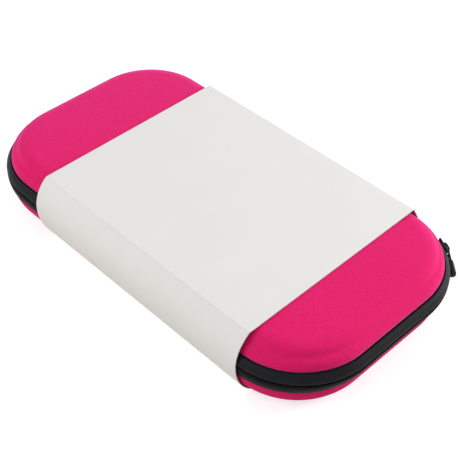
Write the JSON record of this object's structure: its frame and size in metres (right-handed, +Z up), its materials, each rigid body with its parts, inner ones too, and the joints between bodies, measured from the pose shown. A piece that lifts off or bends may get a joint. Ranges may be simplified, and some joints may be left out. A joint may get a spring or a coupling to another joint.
{
  "type": "stethoscope hard case",
  "caption": "Flat zipped hard case with a lid hinged on a fabric strip, a zipper slider with a pull tab, and a card sleeve that slides off.",
  "frame": {"origin": "middle of the case in plan, on the card sleeve's underside, on which the case rests", "axes": "+X along the case towards the parked slider, +Y towards the hinge, +Z up through the lid"},
  "size_m": [0.28, 0.1524, 0.0472],
  "materials": {
    "pink_fabric": "woven magenta-pink cover fabric",
    "foam": "closed-cell EVA foam",
    "lining": "fine black knit",
    "binding": "black binding tape",
    "tape": "dark blue-grey coated zipper tape",
    "teeth": "dark moulded nylon",
    "slider": "black enamel",
    "puller": "black enamel",
    "mesh": "black net",
    "elastic": "black elastic",
    "card": "white printed card"
  },
  "bodies": {
    "base": {"base_cover": "pink_fabric", "base_foam_shell": "foam", "base_lining": "lining", "base_edge_binding": "binding", "base_zipper_tape": "tape", "base_teeth": "teeth", "base_end_stops": "teeth", "hinge_gusset": "tape"},
    "lid": {"lid_cover": "pink_fabric", "lid_foam_shell": "foam", "lid_lining": "lining", "lid_edge_binding": "binding", "lid_zipper_tape": "tape", "lid_teeth": "teeth", "lid_end_stops": "teeth", "mesh_pocket": "mesh", "pocket_elastic": "elastic"},
    "slider": {"slider_body": "slider", "slider_bail": "slider"},
    "puller": {"puller": "puller"},
    "sleeve_lower": {"sleeve_lower": "card"},
    "sleeve_upper": {"sleeve_upper": "card"}
  },
  "joints": [
    {"name": "lid_hinge", "type": "hinge", "parent": "base", "child": "lid", "pos_m": [0, 0.0766, 0.02775], "axis": [-1, 0, 0], "range_deg": [0, 180], "deforming": ["hinge_gusset"]},
    {"name": "sleeve_slide", "type": "slide", "parent": "base", "child": "sleeve_lower", "axis": [-1, 0, 0], "range_m": [0, 0.25]},
    {"name": "sleeve_upper_slide", "type": "slide", "parent": "lid", "child": "sleeve_upper", "axis": [-1, 0, 0], "range_m": [0, 0.25]},
    {"name": "slider_travel", "type": "hinge", "parent": "base", "child": "slider", "pos_m": [0.0916, 0.0268, 0.02775], "axis": [0, 0, 1], "range_deg": [-60.5, 0], "deforming": ["lid_teeth", "base_teeth"]},
    {"name": "puller_swing", "type": "hinge", "parent": "slider", "child": "puller", "pos_m": [0.1159, 0.07134, 0.02775], "axis": [0.3937, -0.2557, 0.8829], "range_deg": [0, 80]}
  ],
  "couplings": [
    {"joint": "sleeve_upper_slide", "follows": "sleeve_slide", "ratio": 1}
  ]
}
